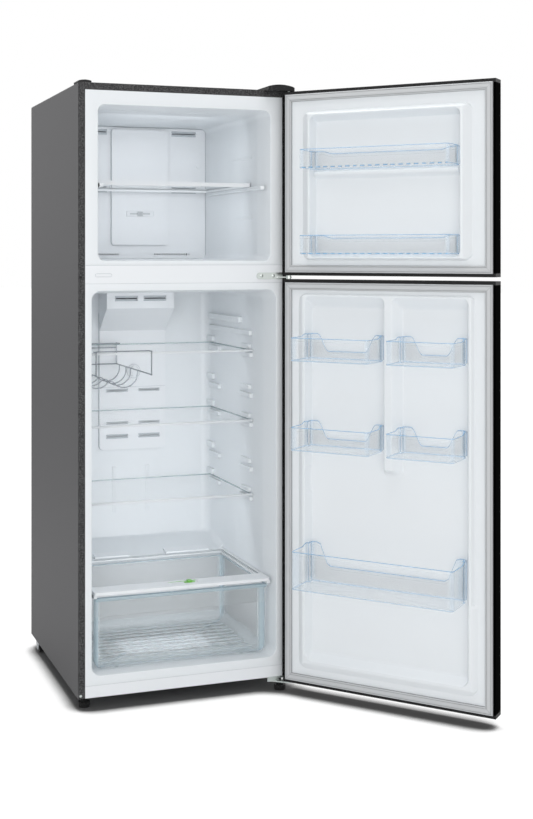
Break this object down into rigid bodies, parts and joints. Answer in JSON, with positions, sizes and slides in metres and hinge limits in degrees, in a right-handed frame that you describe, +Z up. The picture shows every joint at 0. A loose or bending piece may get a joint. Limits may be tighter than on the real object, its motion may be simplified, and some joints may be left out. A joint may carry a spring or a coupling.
{
  "type": "top freezer refrigerator",
  "caption": "Tall top freezer refrigerator with both doors swung open, glass shelves, crisper drawer, wire bottle rack, air duct, door bins, compressor bay and levelling feet.",
  "frame": {"origin": "on the floor under the middle of the cabinet's footprint, doors left out", "axes": "+Z up the cabinet, -Y out of the front opening, +X to the hinge side"},
  "size_m": [1.004, 1.1156, 1.678],
  "materials": {
    "graphite": "satin textured graphite paint",
    "black_skin": "satin black paint",
    "black_plastic": "matte black moulded plastic",
    "white_plastic": "satin white moulded plastic",
    "liner": "satin white vacuum formed sheet",
    "galvanised": "galvanised sheet steel",
    "hinge_steel": "zinc plated pressed steel",
    "wire_chrome": "bright chromed wire",
    "foam": "rigid polyurethane foam",
    "compressor_black": "black enamel",
    "rubber": "black rubber",
    "gasket": "soft grey magnetic gasket",
    "copper": "copper tube",
    "coil": "mill finish aluminium",
    "grey_plastic": "grey moulded plastic",
    "shelf_glass": "tempered clear glass with green-grey edges",
    "clear_blue": "clear plastic with a light blue tint",
    "drawer_clear": "clear plastic, lightly frosted",
    "slider_green": "light green moulded plastic"
  },
  "bodies": {
    "cabinet": {"outer_shell": "graphite", "back_panel": "galvanised", "base_plate": "galvanised", "kick_rail": "white_plastic", "mullion_cover": "white_plastic", "freezer_liner": "liner", "fridge_liner": "liner", "cabinet_foam": "foam", "corner_cap": "black_plastic", "compressor_deck": "galvanised", "compressor": "compressor_black", "compressor_grommets": "rubber", "drip_tray": "grey_plastic", "bay_cover": "black_plastic", "refrigerant_pipes": "copper", "evaporator": "coil", "fan_motor": "grey_plastic", "evaporator_cover": "white_plastic", "air_duct": "white_plastic", "top_hinge": "hinge_steel", "top_hinge_cover": "black_plastic", "middle_hinge": "hinge_steel", "bottom_hinge": "hinge_steel", "hinge_screws": "hinge_steel"},
    "freezer_door": {"freezer_door_skin": "black_skin", "freezer_door_caps": "black_plastic", "freezer_door_foam": "foam", "freezer_door_liner": "liner", "freezer_door_gasket": "gasket"},
    "fridge_door": {"fridge_door_skin": "black_skin", "fridge_door_caps": "black_plastic", "fridge_door_foam": "foam", "fridge_door_liner": "liner", "fridge_door_gasket": "gasket"},
    "crisper_drawer": {"crisper_drawer": "drawer_clear"},
    "shelf_1": {"shelf_glass_1": "shelf_glass", "shelf_trim_1": "white_plastic", "bottle_rack": "wire_chrome"},
    "shelf_2": {"shelf_glass_2": "shelf_glass", "shelf_trim_2": "white_plastic"},
    "shelf_3": {"shelf_glass_3": "shelf_glass", "shelf_trim_3": "white_plastic"},
    "freezer_shelf": {"freezer_shelf_glass": "shelf_glass", "freezer_shelf_trim": "white_plastic"},
    "humidity_slider": {"humidity_slider": "slider_green"},
    "airflow_slider": {"airflow_slider": "grey_plastic"},
    "temperature_dial": {"temperature_dial": "white_plastic"},
    "fan_blade": {"fan_blade": "grey_plastic"},
    "foot_left": {"foot_left": "black_plastic"},
    "foot_right": {"foot_right": "black_plastic"},
    "rear_rollers": {"rear_rollers": "black_plastic"},
    "crisper_cover": {"crisper_cover_frame": "white_plastic", "crisper_cover_glass": "shelf_glass"},
    "freezer_bin_upper": {"freezer_bin_upper": "clear_blue"},
    "freezer_bin_lower": {"freezer_bin_lower": "clear_blue"},
    "fridge_bin_upper_hinge": {"fridge_bin_upper_hinge": "clear_blue"},
    "fridge_bin_upper_free": {"fridge_bin_upper_free": "clear_blue"},
    "fridge_bin_lower_hinge": {"fridge_bin_lower_hinge": "clear_blue"},
    "fridge_bin_lower_free": {"fridge_bin_lower_free": "clear_blue"},
    "bottle_bin": {"bottle_bin": "clear_blue"}
  },
  "joints": [
    {"name": "freezer_door_hinge", "type": "hinge", "parent": "cabinet", "child": "freezer_door", "pos_m": [0.2905, -0.337, 1.15], "axis": [0, 0, 1], "range_deg": [-131.5, 0]},
    {"name": "fridge_door_hinge", "type": "hinge", "parent": "cabinet", "child": "fridge_door", "pos_m": [0.2905, -0.337, 0.03], "axis": [0, 0, 1], "range_deg": [-131.5, 0]},
    {"name": "freezer_bin_upper_lift", "type": "slide", "parent": "freezer_door", "child": "freezer_bin_upper", "axis": [0, 0, 1], "range_m": [0, 0.03]},
    {"name": "freezer_bin_lower_lift", "type": "slide", "parent": "freezer_door", "child": "freezer_bin_lower", "axis": [0, 0, 1], "range_m": [0, 0.03]},
    {"name": "fridge_bin_upper_hinge_lift", "type": "slide", "parent": "fridge_door", "child": "fridge_bin_upper_hinge", "axis": [0, 0, 1], "range_m": [0, 0.03]},
    {"name": "fridge_bin_upper_free_lift", "type": "slide", "parent": "fridge_door", "child": "fridge_bin_upper_free", "axis": [0, 0, 1], "range_m": [0, 0.03]},
    {"name": "fridge_bin_lower_hinge_lift", "type": "slide", "parent": "fridge_door", "child": "fridge_bin_lower_hinge", "axis": [0, 0, 1], "range_m": [0, 0.03]},
    {"name": "fridge_bin_lower_free_lift", "type": "slide", "parent": "fridge_door", "child": "fridge_bin_lower_free", "axis": [0, 0, 1], "range_m": [0, 0.03]},
    {"name": "bottle_bin_lift", "type": "slide", "parent": "fridge_door", "child": "bottle_bin", "axis": [0, 0, 1], "range_m": [0, 0.03]},
    {"name": "crisper_drawer_slide", "type": "slide", "parent": "cabinet", "child": "crisper_drawer", "axis": [0, -1, 0], "range_m": [0, 0.32]},
    {"name": "crisper_cover_slide", "type": "slide", "parent": "cabinet", "child": "crisper_cover", "axis": [0, -1, 0], "range_m": [0, 0.2]},
    {"name": "shelf_1_slide", "type": "slide", "parent": "cabinet", "child": "shelf_1", "axis": [0, -1, 0], "range_m": [0, 0.28]},
    {"name": "shelf_2_slide", "type": "slide", "parent": "cabinet", "child": "shelf_2", "axis": [0, -1, 0], "range_m": [0, 0.28]},
    {"name": "shelf_3_slide", "type": "slide", "parent": "cabinet", "child": "shelf_3", "axis": [0, -1, 0], "range_m": [0, 0.28]},
    {"name": "freezer_shelf_slide", "type": "slide", "parent": "cabinet", "child": "freezer_shelf", "axis": [0, -1, 0], "range_m": [0, 0.3]},
    {"name": "humidity_slider_slide", "type": "slide", "parent": "crisper_cover", "child": "humidity_slider", "axis": [-1, 0, 0], "range_m": [0, 0.034]},
    {"name": "airflow_slider_slide", "type": "slide", "parent": "cabinet", "child": "airflow_slider", "axis": [1, 0, 0], "range_m": [-0.02, 0.02]},
    {"name": "temperature_dial_turn", "type": "hinge", "parent": "cabinet", "child": "temperature_dial", "pos_m": [0.002, 0.2225, 0.848], "axis": [0, 1, 0], "range_deg": [-135, 135]},
    {"name": "fan_turn", "type": "hinge", "parent": "cabinet", "child": "fan_blade", "pos_m": [0.014, 0.2295, 1.5], "axis": [0, 1, 0], "continuous": true},
    {"name": "foot_left_screw", "type": "slide", "parent": "cabinet", "child": "foot_left", "axis": [0, 0, 1], "range_m": [0, 0.012]},
    {"name": "foot_right_screw", "type": "slide", "parent": "cabinet", "child": "foot_right", "axis": [0, 0, 1], "range_m": [0, 0.012]},
    {"name": "rear_rollers_roll", "type": "hinge", "parent": "cabinet", "child": "rear_rollers", "pos_m": [0, 0.2425, 0.017], "axis": [1, 0, 0], "continuous": true}
  ]
}
